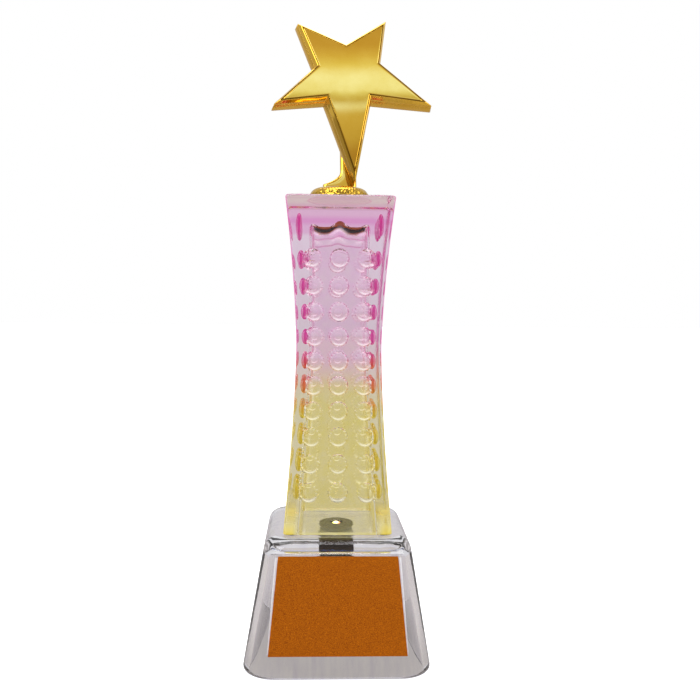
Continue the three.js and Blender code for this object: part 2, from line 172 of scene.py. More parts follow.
def quarter_turn(steps):
    """Angles from 0 to 90 degrees, both included."""
    return [i / steps * math.pi / 2 for i in range(steps + 1)]


def belongs(piece, node):
    """The piece rides on the trophy and takes the place of a CAD node."""
    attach(piece, "trophy")
    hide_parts(node)


# ---- material helpers ----
def new_material(name):
    material = bpy.data.materials.new(name)
    material.use_nodes = True
    nodes = material.node_tree.nodes
    return material, nodes, material.node_tree.links, nodes["Principled BSDF"]


def noise(nodes, links, scale, detail=4, roughness=0.6, stretch=(1, 1, 1)):
    """Noise on the object's own coordinates, in metres."""
    where = nodes.new("ShaderNodeTexCoord")
    mapping = nodes.new("ShaderNodeMapping")
    mapping.inputs["Scale"].default_value = stretch
    texture = nodes.new("ShaderNodeTexNoise")
    texture.inputs["Scale"].default_value = scale
    texture.inputs["Detail"].default_value = detail
    texture.inputs["Roughness"].default_value = roughness
    links.new(where.outputs["Object"], mapping.inputs["Vector"])
    links.new(mapping.outputs["Vector"], texture.inputs["Vector"])
    return texture.outputs["Fac"]


def map_range(nodes, links, value, from_low, from_high, to_low=0, to_high=1):
    """Maps from_low..from_high to to_low..to_high, and holds the value there beyond them."""
    node = nodes.new("ShaderNodeMapRange")
    node.inputs["From Min"].default_value = from_low
    node.inputs["From Max"].default_value = from_high
    node.inputs["To Min"].default_value = to_low
    node.inputs["To Max"].default_value = to_high
    links.new(value, node.inputs["Value"])
    return node.outputs["Result"]


def spread(nodes, links, value, low, high):
    """Maps the usual range of a noise to low..high."""
    return map_range(nodes, links, value, 0.3, 0.7, low, high)


def share_along(nodes, links, axis, low, high):
    """How far along an axis of the object a point is, 0 at low and 1 at high."""
    where = nodes.new("ShaderNodeTexCoord")
    parts = nodes.new("ShaderNodeSeparateXYZ")
    links.new(where.outputs["Object"], parts.inputs["Vector"])
    return map_range(nodes, links, parts.outputs[axis], low, high)


def point_value(nodes, name):
    """A number that the mesh holds for each of its points."""
    node = nodes.new("ShaderNodeAttribute")
    node.attribute_name = name
    return node.outputs["Fac"]


def mix(nodes, links, factor, a, b):
    """A mix of two colours; each may be a socket or plain numbers."""
    node = nodes.new("ShaderNodeMix")
    node.data_type = "RGBA"
    links.new(factor, node.inputs["Factor"])
    for name, colour in (("A", a), ("B", b)):
        if isinstance(colour, tuple):
            node.inputs[name].default_value = (*colour, 1)
        else:
            links.new(colour, node.inputs[name])
    return node.outputs["Result"]


def ramp(nodes, links, value, stops):
    """A colour ramp: stops are (place, (r, g, b))."""
    node = nodes.new("ShaderNodeValToRGB")
    elements = node.color_ramp.elements
    while len(elements) > 1:
        elements.remove(elements[-1])
    elements[0].position = stops[0][0]
    elements[0].color = (*stops[0][1], 1)
    for place, colour in stops[1:]:
        elements.new(place).color = (*colour, 1)
    links.new(value, node.inputs["Fac"])
    return node.outputs["Color"]


def bump(nodes, links, height, shader, strength, distance):
    node = nodes.new("ShaderNodeBump")
    node.inputs["Strength"].default_value = strength
    node.inputs["Distance"].default_value = distance
    links.new(height, node.inputs["Height"])
    links.new(node.outputs["Normal"], shader.inputs["Normal"])


# ---- materials ----
WHITE = (1, 1, 1)
NO_LIGHT = (0, 0, 0)

# Clear resin. Its tint is pale on open walls, and deep at upright edges, dimples' rims and pockets,
# where it is also denser and has a faint painted glow; there the deep tint is partly the resin's own
# colour and partly painted reflection. Painted highlights make it white and bright in places.
RESIN_IOR = 1.49
RESIN_HAZE_SCALE = 300
PINK = (1.0, 0.78, 0.96)
PEACH = (1.0, 0.84, 0.78)
YELLOW = (0.99, 0.93, 0.40)
CLOUD = (1, 0.97, 0.90)
DEEP_PINK = (0.84, 0.008, 0.43)
DEEP_RED = (0.86, 0.05, 0.02)
DEEP_ORANGE = (0.88, 0.23, 0.004)
DEEP_YELLOW = (0.86, 0.67, 0.002)
DEEP_STOPS = [(0.34, DEEP_YELLOW), (0.41, DEEP_ORANGE), (0.49, DEEP_RED), (0.56, DEEP_PINK)]
DENSE_TRANSMISSION = 0.22
PAINTED_GLOW_STRENGTH = 0.16
PAINTED_HIGHLIGHT_GLOW = (4, 4, 4)


def gold_material(name, low, high, rough_low=0.02, rough_high=0.07):
    """Bright gold plating on a moulding: slightly uneven, with faint haze."""
    material, nodes, links, shader = new_material(name)
    shader.inputs["Metallic"].default_value = 1
    tone = noise(nodes, links, 60, 5)
    colour = ramp(nodes, links, tone, [(0.3, low), (0.7, high)])
    links.new(colour, shader.inputs["Base Color"])
    haze = noise(nodes, links, 220, 6, 0.7)
    links.new(spread(nodes, links, haze, rough_low, rough_high), shader.inputs["Roughness"])
    ripple = noise(nodes, links, 90, 2, 0.4)
    bump(nodes, links, ripple, shader, 0.02, 0.0002)
    return material


def clear_material(name, colour, streaked, wave=0.05):
    """Clear moulded resin, with the slight waviness of a moulding."""
    material, nodes, links, shader = new_material(name)
    shader.inputs["Transmission Weight"].default_value = 1
    shader.inputs["IOR"].default_value = RESIN_IOR
    streak = noise(nodes, links, 260, 4, 0.6, (1, 1, 0.12))
    tone = ramp(nodes, links, streak, [(0.35, streaked), (0.6, colour)])
    links.new(tone, shader.inputs["Base Color"])
    haze = noise(nodes, links, RESIN_HAZE_SCALE, 4)
    links.new(spread(nodes, links, haze, 0.004, 0.03), shader.inputs["Roughness"])
    if wave:
        bump(nodes, links, noise(nodes, links, 110, 2, 0.4), shader, wave, 0.0005)
    return material


def tinted_material(name, pale_stops, haze_low, haze_high, cloud=0.0):
    """Clear resin with a tint that changes up the column, deeper, denser and faintly glowing where its
    painted mask says so, white and bright at painted highlights.
    """
    material, nodes, links, shader = new_material(name)
    shader.inputs["IOR"].default_value = RESIN_IOR
    share = share_along(nodes, links, "Z", COLUMN_FOOT_Z, COLUMN_TOP_Z)
    pale = ramp(nodes, links, share, pale_stops)
    if cloud:
        patch = noise(nodes, links, 170, 5, 0.6)
        pale = mix(nodes, links, spread(nodes, links, patch, 0, cloud), pale, CLOUD)
    deep = ramp(nodes, links, share, DEEP_STOPS)
    deep_tint_mask, painted_highlight = point_value(nodes, "deep_tint_and_painted_glow"), point_value(nodes, "painted_highlight")
    colour = mix(nodes, links, deep_tint_mask, pale, deep)
    links.new(mix(nodes, links, painted_highlight, colour, WHITE), shader.inputs["Base Color"])
    # Painted glow: faint where the tint is deep, strong at the painted highlights.
    painted_glow = mix(nodes, links, deep_tint_mask, NO_LIGHT, deep)
    links.new(mix(nodes, links, painted_highlight, painted_glow, PAINTED_HIGHLIGHT_GLOW), shader.inputs["Emission Color"])
    shader.inputs["Emission Strength"].default_value = PAINTED_GLOW_STRENGTH
    dense = nodes.new("ShaderNodeMath")
    dense.operation = "MAXIMUM"
    links.new(deep_tint_mask, dense.inputs[0])
    links.new(painted_highlight, dense.inputs[1])
    clear = map_range(nodes, links, dense.outputs["Value"], 0, 1, 1, DENSE_TRANSMISSION)
    links.new(clear, shader.inputs["Transmission Weight"])
    haze = noise(nodes, links, RESIN_HAZE_SCALE, 4)
    links.new(spread(nodes, links, haze, haze_low, haze_high), shader.inputs["Roughness"])
    bump(nodes, links, noise(nodes, links, 140, 2, 0.4), shader, 0.06, 0.0005)
    return material


def ceiling_material():
    """The hollow's ceiling: opaque, painted with how the gold foot looks through it, dark amber and black,
    and with a painted highlight at its back edge.
    """
    material, nodes, links, shader = new_material("ceiling_painted_foot_view")
    shader.inputs["IOR"].default_value = RESIN_IOR
    shader.inputs["Specular IOR Level"].default_value = 0
    share = share_along(nodes, links, "Y", -HOLLOW_HALF, HOLLOW_HALF)
    # Painted view of the foot: amber at the front, black in the middle, amber again, then a white painted
    # highlight at the back.
    colour = ramp(nodes, links, share, [
        (0.0, (0.75, 0.30, 0.08)), (0.18, (0.55, 0.16, 0.02)),
        (0.35, (0.03, 0.004, 0.001)), (0.65, (0.02, 0.003, 0.001)),
        (0.8, (0.50, 0.16, 0.04)), (0.9, (0.95, 0.75, 0.7)), (1.0, (0.98, 0.95, 0.95))])
    links.new(colour, shader.inputs["Base Color"])
    links.new(spread(nodes, links, noise(nodes, links, 120, 3), 0.2, 0.5), shader.inputs["Roughness"])
    return material


def plate_material():
    """Satin copper-orange sheet with a fine sparkle."""
    material, nodes, links, shader = new_material("label_sheet")
    shader.inputs["Specular IOR Level"].default_value = 0.08
    speck = noise(nodes, links, 3000, 3, 0.9)
    stops = [(0.37, (0.18, 0.04, 0.0005)), (0.5, (0.37, 0.086, 0.0008)), (0.63, (0.60, 0.17, 0.004))]
    links.new(ramp(nodes, links, speck, stops), shader.inputs["Base Color"])
    links.new(spread(nodes, links, noise(nodes, links, 1500, 3), 0.42, 0.62), shader.inputs["Roughness"])
    bump(nodes, links, speck, shader, 0.25, 0.0001)
    return material


def plain_material(name, dark, light, rough_low, rough_high, scale, metallic=0.0, grain=0.1):
    """A solid material whose tone, roughness and surface vary a little."""
    material, nodes, links, shader = new_material(name)
    shader.inputs["Metallic"].default_value = metallic
    tone = noise(nodes, links, scale, 5)
    links.new(ramp(nodes, links, tone, [(0.35, dark), (0.65, light)]), shader.inputs["Base Color"])
    links.new(spread(nodes, links, tone, rough_low, rough_high), shader.inputs["Roughness"])
    bump(nodes, links, tone, shader, grain, 0.0002)
    return material


def lamp_material():
    """Milky resin, lit from inside: white in the middle, greenish to the left, orange-red to the right."""
    material, nodes, links, shader = new_material("lit_lamp")
    margin = 0.8 * MM
    share = share_along(nodes, links, "X", lamp_low.x + margin, lamp_high.x - margin)
    colour = ramp(nodes, links, share, [
        (0.1, (0.75, 0.9, 0.1)), (0.35, (1, 0.95, 0.6)), (0.55, (1, 0.95, 0.85)), (0.85, (1, 0.25, 0.05))])
    links.new(colour, shader.inputs["Emission Color"])
    shader.inputs["Emission Strength"].default_value = 4
    shader.inputs["Roughness"].default_value = 0.2
    return material


GOLD = gold_material("gold_plating", (0.80, 0.46, 0.045), (0.88, 0.54, 0.075))
CAST_GOLD = gold_material("gold_casting", (0.50, 0.29, 0.03), (0.70, 0.43, 0.06))
SIDE_GOLD = gold_material("gold_sides", (0.74, 0.41, 0.04), (0.84, 0.50, 0.07), 0.16, 0.24)
# Darker gold for the groove round the star's face: painted shade.
GROOVE_SHADE_GOLD = gold_material("gold_groove_painted_shade", (0.22, 0.10, 0.008), (0.34, 0.17, 0.015))
BASE_CLEAR = clear_material("base_resin", (0.975, 0.97, 0.985), (0.87, 0.86, 0.93), 0.10)
COLUMN_SKIN = tinted_material(
    "tinted_skin", [(0.41, YELLOW), (0.455, PEACH), (0.50, PINK)], 0.01, 0.05, cloud=0.7)
# Seen from outside there is a mauve band below the column's top, painted on the outside faces in place of a
# reflection inside the thick top.
COLUMN_OUT = tinted_material("column_outside", [
    (0.38, (0.93, 0.90, 0.62)), (0.455, (0.97, 0.88, 0.82)), (0.50, (0.97, 0.84, 0.94)),
    (0.905, (0.97, 0.80, 0.94)), (0.918, (0.91, 0.42, 0.76)), (0.962, (0.91, 0.42, 0.78)),
    (0.978, (0.99, 0.84, 0.88))], 0.004, 0.03)
CEILING_PAINTED_VIEW = ceiling_material()
BOND = plain_material("foot_bond", (0.95, 0.80, 0.82), (0.99, 0.90, 0.90), 0.12, 0.25, 300, metallic=1)
TAPE_CONTACT = plain_material("tape_contact", (0.03, 0.012, 0.006), (0.07, 0.03, 0.015), 0.6, 0.8, 600)
PLATE = plate_material()
TAPE = plain_material("tape_film", (0.80, 0.80, 0.78), (0.88, 0.88, 0.87), 0.5, 0.7, 900)
GLUE = clear_material("set_glue", (0.97, 0.97, 0.96), (0.93, 0.93, 0.93), 0)
BLACK = plain_material("black_moulding", (0.012, 0.011, 0.012), (0.03, 0.028, 0.03), 0.35, 0.55, 700)
FOAM = plain_material("foam", (0.02, 0.02, 0.022), (0.05, 0.05, 0.055), 0.8, 0.95, 2500, grain=0.5)
LAMP = lamp_material()
BOARD = plain_material("board", (0.01, 0.10, 0.03), (0.02, 0.16, 0.06), 0.35, 0.5, 400)
NICKEL = plain_material("nickel", (0.55, 0.55, 0.56), (0.68, 0.68, 0.70), 0.15, 0.32, 500, metallic=1)
CHIP = plain_material("chip", (0.01, 0.01, 0.012), (0.03, 0.03, 0.03), 0.4, 0.6, 900)
RUBBER = plain_material("rubber", (0.01, 0.01, 0.011), (0.025, 0.025, 0.027), 0.6, 0.8, 1200)

for node, material in {
    "label_plate": PLATE, "label_tape": TAPE, "column_glue": GLUE, "foot_glue": GLUE,
    "led_housing": BLACK, "twist_cap": BLACK, "module_tape": FOAM, "led_bulb": LAMP,
    "led_board": BOARD, "led_lead_positive": NICKEL, "led_lead_negative": NICKEL,
    "chip_resistor": CHIP, "contact_spring": NICKEL, "coin_cell": NICKEL, "cap_contact": NICKEL,
    "cap_seal": RUBBER,
}.items():
    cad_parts[node].data.materials.clear()
    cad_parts[node].data.materials.append(material)


# ---- the clear base ----
def base_half(z):
    return BASE_FOOT_HALF - (BASE_FOOT_HALF - BASE_TOP_HALF) * z / BASE_TALL


def base_corner(z):
    return BASE_FOOT_CORNER + (BASE_TOP_CORNER - BASE_FOOT_CORNER) * z / BASE_TALL


def base_outer(z, inward=0.0, corner_share=1.0):
    """A ring of the base's outside."""
    return rounded_square(base_half(z) - inward, base_corner(z) - inward * corner_share, z)


def base_inner(z, inward=0.0):
    """A ring of the base's hollow."""
    half = base_half(z) - BASE_WALL - inward
    return rounded_square(half, base_corner(z) - BASE_WALL * 0.6 - inward, z)


def round_ring(radius, z):
    """A circle with as many points as the base's other rings."""
    return rounded_square(radius, radius * 0.985, z)


def make_base():
    """One surface that runs over the top, down the outside, up the hollow and round the pocket.

    Extra rings beside each edge keep the smooth shading of the flat faces flat.
    """
    rings = [round_ring(LAMP_HOLE, BASE_TALL), round_ring(LAMP_HOLE + 1 * MM, BASE_TALL)]
    rings += [base_outer(BASE_TALL, BASE_TOP_ROUND + inward * MM, 0.5) for inward in (1.5, 0.7)]
    for a in reversed(quarter_turn(10)):
        z = BASE_TALL - BASE_TOP_ROUND * (1 - math.sin(a))
        rings.append(base_outer(z, BASE_TOP_ROUND * (1 - math.cos(a)), 0.5))
    side_tall = BASE_TALL - BASE_TOP_ROUND - BASE_RIM_ROUND
    rings += [base_outer(BASE_RIM_ROUND + share * side_tall) for share in (0.97, 0.6, 0.3, 0.06)]
    for a in reversed(quarter_turn(10)):
        z = BASE_RIM_ROUND * (1 - math.cos(a))
        inward = BASE_RIM_ROUND * (1 - math.sin(a)) + base_half(z) - base_half(BASE_RIM_ROUND)
        rings.append(base_outer(z, inward))
    rings += [base_inner(0, -0.1 * MM), base_inner(0.1 * MM)]
    wall_tall = BASE_CEILING_Z - BASE_CEILING_ROUND
    rings += [base_inner(share * wall_tall) for share in (0.03, 0.5, 0.97)]
    for a in quarter_turn(5):
        z = BASE_CEILING_Z - BASE_CEILING_ROUND * (1 - math.sin(a))
        rings.append(base_inner(z, BASE_CEILING_ROUND * (1 - math.cos(a))))
    rings += [base_inner(BASE_CEILING_Z, BASE_CEILING_ROUND + inward * MM) for inward in (0.6, 1.2)]
    rings += [round_ring(POCKET_RADIUS + outward * MM, BASE_CEILING_Z) for outward in (0.9, 0.3)]
    rings.append(round_ring(POCKET_RADIUS, BASE_CEILING_Z + 0.1 * MM))
    rings += [round_ring(POCKET_RADIUS, POCKET_TOP_Z), round_ring(LAMP_HOLE, POCKET_TOP_Z)]
    rings.reverse()
    piece = loft("base_resin_block", rings, BASE_CLEAR, wrap=True, smooth_angle=35)
    piece.data.materials.append(TAPE_CONTACT)
    for face in piece.data.polygons[:2 * len(rings[0])]:
        face.material_index = 1
    belongs(piece, "base_shell")


make_base()


# ---- the clear column ----
def column_half(z):
    above = np.maximum(z - WAIST_Z, 0) / TOP_FLARE_TALL
    below = np.maximum(WAIST_Z - z, 0) / FOOT_FLARE_TALL
    return WAIST_HALF + TOP_FLARE * above ** 1.6 + FOOT_FLARE * below ** 1.5


def hollow_half(z):
    above = HOLLOW_HALF + HOLLOW_FLARE * ((z - WAIST_Z) / HOLLOW_FLARE_TALL) ** 2
    return np.where(z > WAIST_Z, above, column_half(z) - WALL_BELOW)


def dimples(first_row=0):
    """The dimples, in rows round the four faces.

    Each is its face, place across, distance out, height and three half sizes.
    """
    found = []
    z = DIMPLE_FIRST_Z
    for row in range(DIMPLE_ROWS):
        across = DIMPLE_PITCH * float(column_half(z))
        if row >= first_row:
            for face in range(4):
                for place in (-1, 0, 1):
                    found.append((face, place * across, float(hollow_half(z)), z, DIMPLE))
        z -= across
    return found


def dimple_ends():
    """The tinted far ends of the deep dimples on the two side faces: deep-coloured, faintly glowing pockets,
    painted in place of the coloured ovals that reflections show there.
    """
    found = []
    for face, across, out, z, halves in dimples():
        if face % 2:
            continue
        first = z == DIMPLE_FIRST_Z
        mid_z = FIRST_END_Z if first else z
        out = float(column_half(mid_z)) - (FIRST_END_INSIDE if first else END_INSIDE)
        found.append((face, across, out, mid_z, FIRST_DIMPLE_END if first else DIMPLE_END))
    return found


def face_axes(face):
    """The outward direction of a face and the direction across it."""
    turn = face * math.pi / 2
    return (math.cos(turn), math.sin(turn)), (-math.sin(turn), math.cos(turn))


def column_directions():
    """Unit directions from the axis, spread evenly along each side."""
    along = np.arange(COLUMN_AROUND) / COLUMN_AROUND * 4
    side = np.floor(along).astype(int)
    u = np.tan(((along - side) * 2 - 1) * math.pi / 4)
    one = np.ones(COLUMN_AROUND)
    dx = np.choose(side, [one, -u, -one, u])
    dy = np.choose(side, [u, one, -u, -one])
    length = np.hypot(dx, dy)
    return dx / length, dy / length


def square_reach(dx, dy, half, corner):
    """Distance from the axis to a rounded square along (dx, dy), and whether that is in a corner."""
    flat = half / np.maximum(np.abs(dx), np.abs(dy))
    centre = half - corner
    in_corner = (np.abs(dx) * flat > centre) & (np.abs(dy) * flat > centre)
    along = (np.abs(dx) + np.abs(dy)) * centre
    inside = np.maximum(along ** 2 - 2 * centre ** 2 + corner ** 2, 0)
    return np.where(in_corner, along + np.sqrt(inside), flat), in_corner


def smooth_max(a, b, width):
    h = np.maximum(width - np.abs(a - b), 0) / width
    return np.maximum(a, b) + h * h * width / 4


def hollow_reach(dx, dy, z):
    """Distance from the axis to the hollow's wall along the direction (dx, dy) at height z.

    The first row of dimples shows only as its tinted ends, so the wall has none there.
    """
    reach = square_reach(dx, dy, hollow_half(z), HOLLOW_CORNER)[0]
    for face, across, out, mid_z, (wide, deep, tall) in dimples(first_row=1):
        (nx, ny), (tx, ty) = face_axes(face)
        dn, dt = dx * nx + dy * ny, dx * tx + dy * ty
        level = 1 - ((z - mid_z) / tall) ** 2
        a = (dt / wide) ** 2 + (dn / deep) ** 2
        b = dt * across / wide ** 2 + dn * out / deep ** 2
        c = (across / wide) ** 2 + (out / deep) ** 2 - level
        room = b * b - a * c
        meets = (level > 0) & (room > 0) & (dn > 0)
        hit = np.where(meets, (b + np.sqrt(np.maximum(room, 0))) / a, 0)
        reach = smooth_max(reach, hit, DIMPLE_BLEND)
    return reach


def peak(value, middle, width):
    """A smooth bump of height 1."""
    return np.exp(-((value - middle) / width) ** 2)


def ceiling_rise(x):
    """How far the hollow's ceiling is above its lowest part: a ridge along its middle, raised sides."""
    side = np.clip((np.abs(x) - SIDE_RISE_FROM) / (SIDE_RISE_TO - SIDE_RISE_FROM), 0, 1)
    return RIDGE_RISE * peak(x, 0, RIDGE_WIDTH) + SIDE_RISE * side ** 2


def ceiling_height(x, y):
    """The hollow's ceiling, which comes down to one level where it meets the walls."""
    edge = np.clip((HOLLOW_HALF * 1.02 - np.maximum(np.abs(x), np.abs(y))) / (0.6 * MM), 0, 1)
    return CEILING_Z + ceiling_rise(x) * edge


def hollow_tint(dx, dy, z, reach):
    """Where the hollow's tint is deep, and where highlights are painted on: its corners, its top and the
    dimples' rims.
    """
    squareness = np.minimum(np.abs(dx), np.abs(dy)) / np.maximum(np.abs(dx), np.abs(dy))
    ripple = 0.5 + 0.5 * np.sin(z / (1.9 * MM) + 2 * np.sin(z / (4.3 * MM)))
    # The hollow's corners: a deep tint, and a painted highlight streak beside it.
    tint = 0.55 * peak(squareness, 0.90, 0.03) * (0.4 + 0.6 * ripple)
    painted_highlight = 0.55 * peak(squareness, 0.82, 0.018) * ripple ** 2

    # Under the ceiling, on the front and the back: a painted highlight band with a fine tinted line below
    # it.
    x = reach * dx
    below = CEILING_Z - z + ceiling_rise(x)
    front = np.clip(4 * (np.abs(dy) / np.maximum(np.abs(dx), 1e-6) - 1), 0, 1)
    wave = np.cos(x / (2.1 * MM))
    painted_highlight_band = 0.5 * peak(below, 4.3 * MM, 1.0 * MM) * (0.55 + 0.45 * wave)
    painted_highlight = np.maximum(painted_highlight, front * painted_highlight_band)
    tint = np.maximum(tint, front * 0.6 * peak(below, (6.6 + 0.8 * wave) * MM, 0.3 * MM))

    # Round each dimple: a beaded rim, painted highlight beads inside it and a painted highlight crescent at
    # the bottom.
    for face, across, out, mid_z, (wide, deep, tall) in dimples(first_row=1):
        (nx, ny), (tx, ty) = face_axes(face)
        n, t = reach * (dx * nx + dy * ny), reach * (dx * tx + dy * ty)
        from_middle = np.hypot((t - across) / wide, (z - mid_z) / tall)
        turn = np.arctan2(z - mid_z, t - across)
        here = n > 0.9 * out
        rim = peak(from_middle, 0.97, 0.06) * (0.28 + 0.28 * np.cos(turn * 18))
        tint = np.maximum(tint, np.where(here, rim, 0))
        beads = peak(from_middle, 0.86, 0.07) * np.clip(np.cos(turn * 14 + 1) * 2 - 1, 0, 1)
        crescent = peak(from_middle, 0.82, 0.10) * np.clip(-np.sin(turn) * 2.2 - 1, 0, 1)
        painted_highlight = np.maximum(painted_highlight, np.where(here, np.maximum(0.5 * beads, 0.8 * crescent), 0))
    return tint, painted_highlight


def column_ring(x, y, z, tint=0.0, painted_highlight=0.0):
    """A ring round the column's axis: its points, and the tint and shine at each of them."""
    count = len(x)
    points = np.stack([AXIS_X + x, y, np.full(count, z)], 1)
    return points, np.full(count, tint, float), np.full(count, painted_highlight, float)


def hollow_rings(dx, dy):
    """Rings up the hollow's walls, then in over its ceiling."""
    heights = np.linspace(COLUMN_FOOT_Z, CEILING_Z, HOLLOW_LEVELS)
    reach = hollow_reach(dx[None, :], dy[None, :], heights[:, None])
    tint, painted_highlight = hollow_tint(dx[None, :], dy[None, :], heights[:, None], reach)
    rings = [column_ring(reach[k] * dx, reach[k] * dy, z, tint[k], painted_highlight[k]) for k, z in enumerate(heights)]
    for k in range(1, CEILING_RINGS):
        share = 1 - k / CEILING_RINGS
        x, y = reach[-1] * dx * share, reach[-1] * dy * share
        rings.append(column_ring(x, y, ceiling_height(x, y)))
    return rings


def outside_ring(dx, dy, z, inward=0.0, tinted=True):
    """A ring of the column's outside, tinted deep at its upright edges and at the foot's corners; there the
    material also paints a faint glow, and the deep tint is partly painted reflection.
    """
    half = float(column_half(z)) - inward
    reach, in_corner = square_reach(dx, dy, half, COLUMN_CORNER)
    x, y = reach * dx, reach * dy
    centre = half - COLUMN_CORNER
    turned = np.where(in_corner, np.cos(np.arctan2(np.abs(y) - centre, np.abs(x) - centre)), 0)
    near_corner = np.clip((np.minimum(np.abs(x), np.abs(y)) / half - 0.74) / 0.08, 0, 1)
    up = z - COLUMN_FOOT_Z
    fade = min(1, max(0, (FOOT_TINT_TALL - up) / (3 * MM)))
    mottle = 0.55 + 0.25 * math.cos(up / (2.4 * MM))
    tint = np.maximum(np.clip(turned, 0, 1) ** 3, mottle * near_corner * fade)
    return column_ring(x, y, z, tint if tinted else 0.0)


def outside_rings(dx, dy):
    """Rings up the outside and in over the top, as far as the round patch where the foot is bonded.

    They use the hollow's directions, so the two surfaces meet in a plain rim.
    """
    rings = []
    for a in reversed(quarter_turn(6)):
        z = COLUMN_FOOT_Z + COLUMN_FOOT_ROUND * (1 - math.sin(a))
        rings.append(outside_ring(dx, dy, z, COLUMN_FOOT_ROUND * (1 - math.cos(a))))
    low, high = COLUMN_FOOT_Z + COLUMN_FOOT_ROUND, COLUMN_TOP_Z - COLUMN_TOP_ROUND
    steps = 60
    rings += [outside_ring(dx, dy, low + (high - low) * i / steps) for i in range(1, steps)]
    for a in quarter_turn(6):
        z = high + COLUMN_TOP_ROUND * math.sin(a)
        rings.append(outside_ring(dx, dy, z, COLUMN_TOP_ROUND * (1 - math.cos(a))))
    rings.append(outside_ring(dx, dy, COLUMN_TOP_Z, COLUMN_TOP_ROUND + 0.5 * MM, tinted=False))
    for wider, tint in ((1.6, 0), (1.2, 0.6), (0.1, 0.6), (0, 0)):
        radius = BOND_RADIUS + wider * MM
        rings.append(column_ring(radius * dx, radius * dy, COLUMN_TOP_Z, tint))
    return rings


def pocket(face, across, out, mid_z, halves, start):
    """Rings and faces of a flattened closed pocket in the resin, whose first point has number start."""
    (nx, ny), (tx, ty) = face_axes(face)
    wide, deep, tall = halves
    rows, count = 14, 20
    rings = []
    turn = np.arange(count) / count * 2 * math.pi
    for k in range(1, rows):
        rise = math.sin((k / rows - 0.5) * math.pi)
        level = math.sqrt(1 - rise * rise)
        n = out + deep * level * np.cos(turn)
        t = across + wide * level * np.sin(turn)
        x, y, z = n * nx + t * tx, n * ny + t * ty, mid_z + tall * rise
        rings.append(column_ring(x, y, z, tint=0.85 + 0.15 * rise * rise))
    faces = ring_faces(rows - 1, count, start)
    top = start + (rows - 2) * count
    faces.append(tuple(reversed(range(start, start + count))))
    faces.append(tuple(range(top, top + count)))
    # The resin is round the pocket, so the pocket's faces look into it.
    return rings, turned_inside_out(faces)


def make_column():
    """The hollow, the outside and the tinted pockets between them, as one closed piece."""
    dx, dy = column_directions()
    around = COLUMN_AROUND
    materials = (COLUMN_OUT, COLUMN_SKIN, CEILING_PAINTED_VIEW, BOND)
    outside_slot, skin_slot, ceiling_slot, bond_slot = range(len(materials))
    rings = hollow_rings(dx, dy)
    last = (len(rings) - 1) * around
    faces = turned_inside_out(ring_faces(len(rings), around) + [tuple(range(last, last + around))])
    slots = [skin_slot] * ((HOLLOW_LEVELS + 1) * around)
    slots += [ceiling_slot] * (len(faces) - len(slots))

    start = len(rings) * around
    outside = outside_rings(dx, dy)
    rings += outside
    faces += ring_faces(len(outside), around, start)
    faces += [(i, (i + 1) % around, start + (i + 1) % around, start + i) for i in range(around)]
    slots += [outside_slot] * (len(faces) - len(slots))
    last = (len(rings) - 1) * around
    faces.append(tuple(range(last, last + around)))
    slots.append(bond_slot)

    count = len(rings) * around
    for end in dimple_ends():
        more_rings, more_faces = pocket(*end, count)
        rings += more_rings
        faces += more_faces
        slots += [skin_slot] * len(more_faces)
        count += sum(len(points) for points, tint, painted_highlight in more_rings)

    points, tint, painted_highlight = (np.concatenate(values) for values in zip(*rings))
    piece = make_object("column_resin", points, faces, materials[0], 45)
    for material in materials[1:]:
        piece.data.materials.append(material)
    piece.data.polygons.foreach_set("material_index", slots)
    for name, values in (("deep_tint_and_painted_glow", tint), ("painted_highlight", painted_highlight)):
        attribute = piece.data.attributes.new(name, "FLOAT", "POINT")
        attribute.data.foreach_set("value", values.astype(np.float32))
    belongs(piece, "column_block")


make_column()


# ---- the star ----
STAR_YAW, STAR_LEAN, STAR_ROLL = math.radians(6), math.radians(8.5), math.radians(3)
STAR_TIP = np.array([AXIS_X + 8.1 * MM, -6 * MM, 226.4 * MM])
STAR_THICK, STAR_EDGE, STAR_EDGE_IN, STAR_DRAFT = 9 * MM, 1.0 * MM, 1.15 * MM, 0.8 * MM
STAR_PARTING = 2.6 * MM
STAR_SKIN = 1.6 * MM
STAR_CORNER = 0.35 * MM
STAR_OUTLINE = np.array([
    (0, 0), (11.6, 43), (43.4, 39.6), (17.8, 62.9), (22.2, 87),
    (-0.4, 73.6), (-25, 85.2), (-17.4, 61.4), (-39.6, 41), (-12.8, 42.8),
]) * MM
STAR_CENTRE = np.array([-0.2, 54]) * MM
STAR_CROWN = 1.5 * MM
STAR_REACH = 45 * MM
EDGE_STEPS = 7


def star_place(points, roll=STAR_ROLL):
    """Turns points (across, up, forward) of the star's own plane into the object's frame."""
    c, s = math.cos(roll), math.sin(roll)
    x, y, z = points[:, 0], points[:, 1], points[:, 2]
    x, y = x * c - y * s, x * s + y * c
    c, s = math.cos(math.pi / 2 - STAR_LEAN), math.sin(math.pi / 2 - STAR_LEAN)
    y, z = y * c - z * s, y * s + z * c
    c, s = math.cos(STAR_YAW), math.sin(STAR_YAW)
    x, y = x * c - y * s, x * s + y * c
    return np.stack([x, y, z], 1) + STAR_TIP


def star_corners(inward, draft):
    """The outline moved inwards. The draft doesn't cut the sharp tips back as a mitred offset does."""
    corners = []
    for i, corner in enumerate(STAR_OUTLINE):
        before = corner - STAR_OUTLINE[i - 1]
        after = STAR_OUTLINE[(i + 1) % len(STAR_OUTLINE)] - corner
        before, after = before / np.hypot(*before), after / np.hypot(*after)
        left_before = np.array([-before[1], before[0]])
        left_after = np.array([-after[1], after[0]])
        bisector = left_before + left_after
        bisector /= np.hypot(*bisector)
        mitre = 1 / bisector.dot(left_before)
        corners.append(corner + bisector * (inward * mitre + draft * min(mitre, 1.4)))
    return corners


